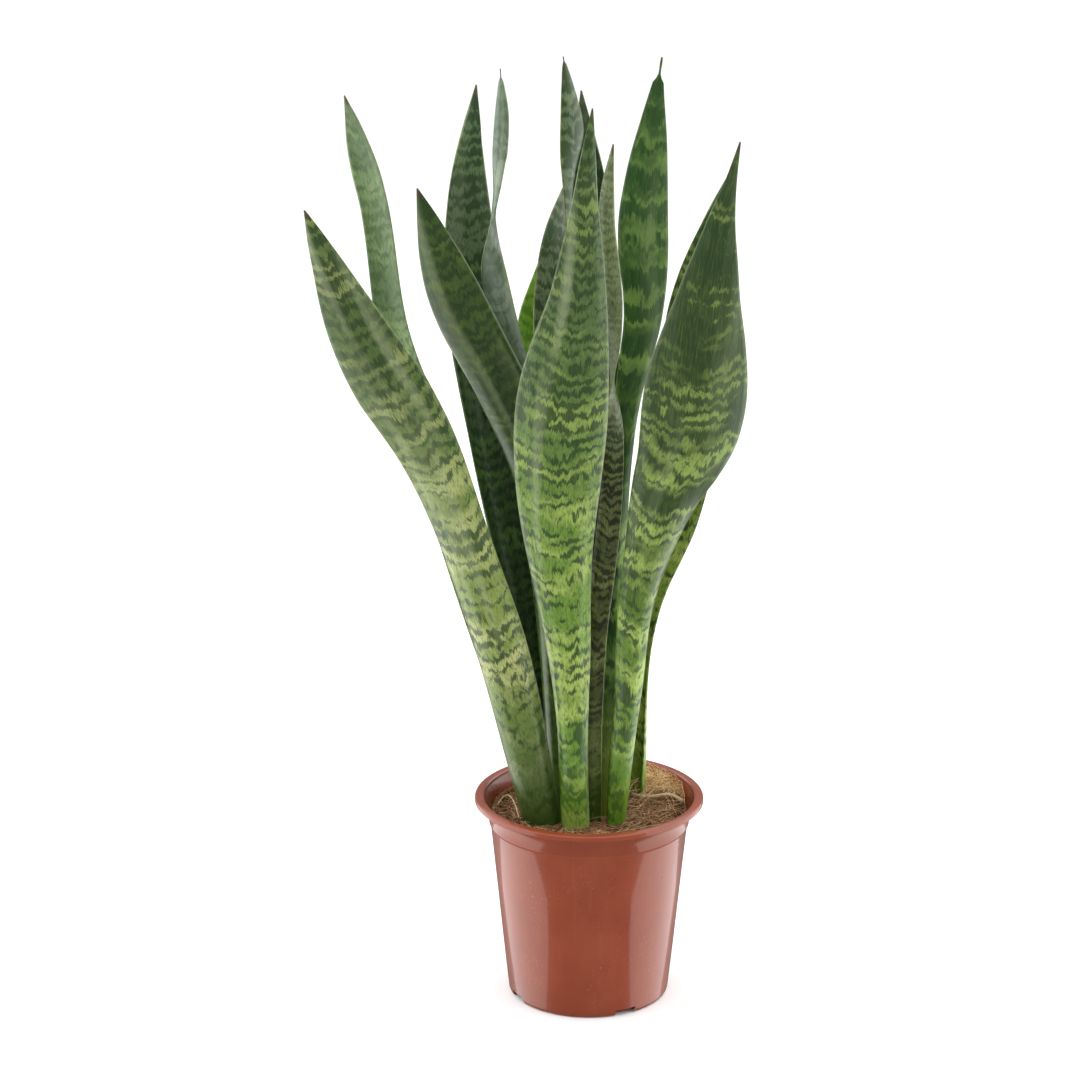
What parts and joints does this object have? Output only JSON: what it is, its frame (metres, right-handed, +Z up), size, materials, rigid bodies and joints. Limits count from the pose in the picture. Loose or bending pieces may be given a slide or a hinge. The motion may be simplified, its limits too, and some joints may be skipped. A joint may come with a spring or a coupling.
{
  "type": "potted snake plant",
  "caption": "Upright cluster of stiff sword-shaped banded leaves standing in coir substrate in a tapered round plastic nursery pot with a rolled rim.",
  "frame": {"origin": "centre of the underside of the pot's floor, on the pot's axis", "axes": "+Z up along the pot's axis, -Y towards the plant's front, +X to the right as seen from the front"},
  "size_m": [0.3066, 0.1701, 0.7071],
  "materials": {
    "pot_plastic": "satin moulded plastic, terracotta colour",
    "coir": "rough, fibrous and crumbly",
    "leaf_green": "satin leaf skin, mid green with dark cross bands",
    "leaf_pale": "satin leaf skin, grey green with faint cross bands",
    "leaf_dark": "satin leaf skin, dark green with darker cross bands",
    "root": "dry tan bark"
  },
  "bodies": {
    "root": {"pot": "pot_plastic", "substrate": "coir", "front_left_leaf": "leaf_green", "back_left_leaf": "leaf_pale", "middle_left_leaf": "leaf_dark", "back_centre_left_leaf": "leaf_dark", "thin_twisted_leaf": "leaf_pale", "centre_tall_leaf": "leaf_dark", "back_centre_leaf": "leaf_green", "back_centre_right_leaf": "leaf_dark", "front_centre_leaf": "leaf_green", "narrow_twisted_leaf": "leaf_dark", "centre_right_leaf": "leaf_green", "front_right_leaf": "leaf_green", "back_right_leaf": "leaf_pale", "runner": "root", "left_root": "root"}
  },
  "joints": []
}
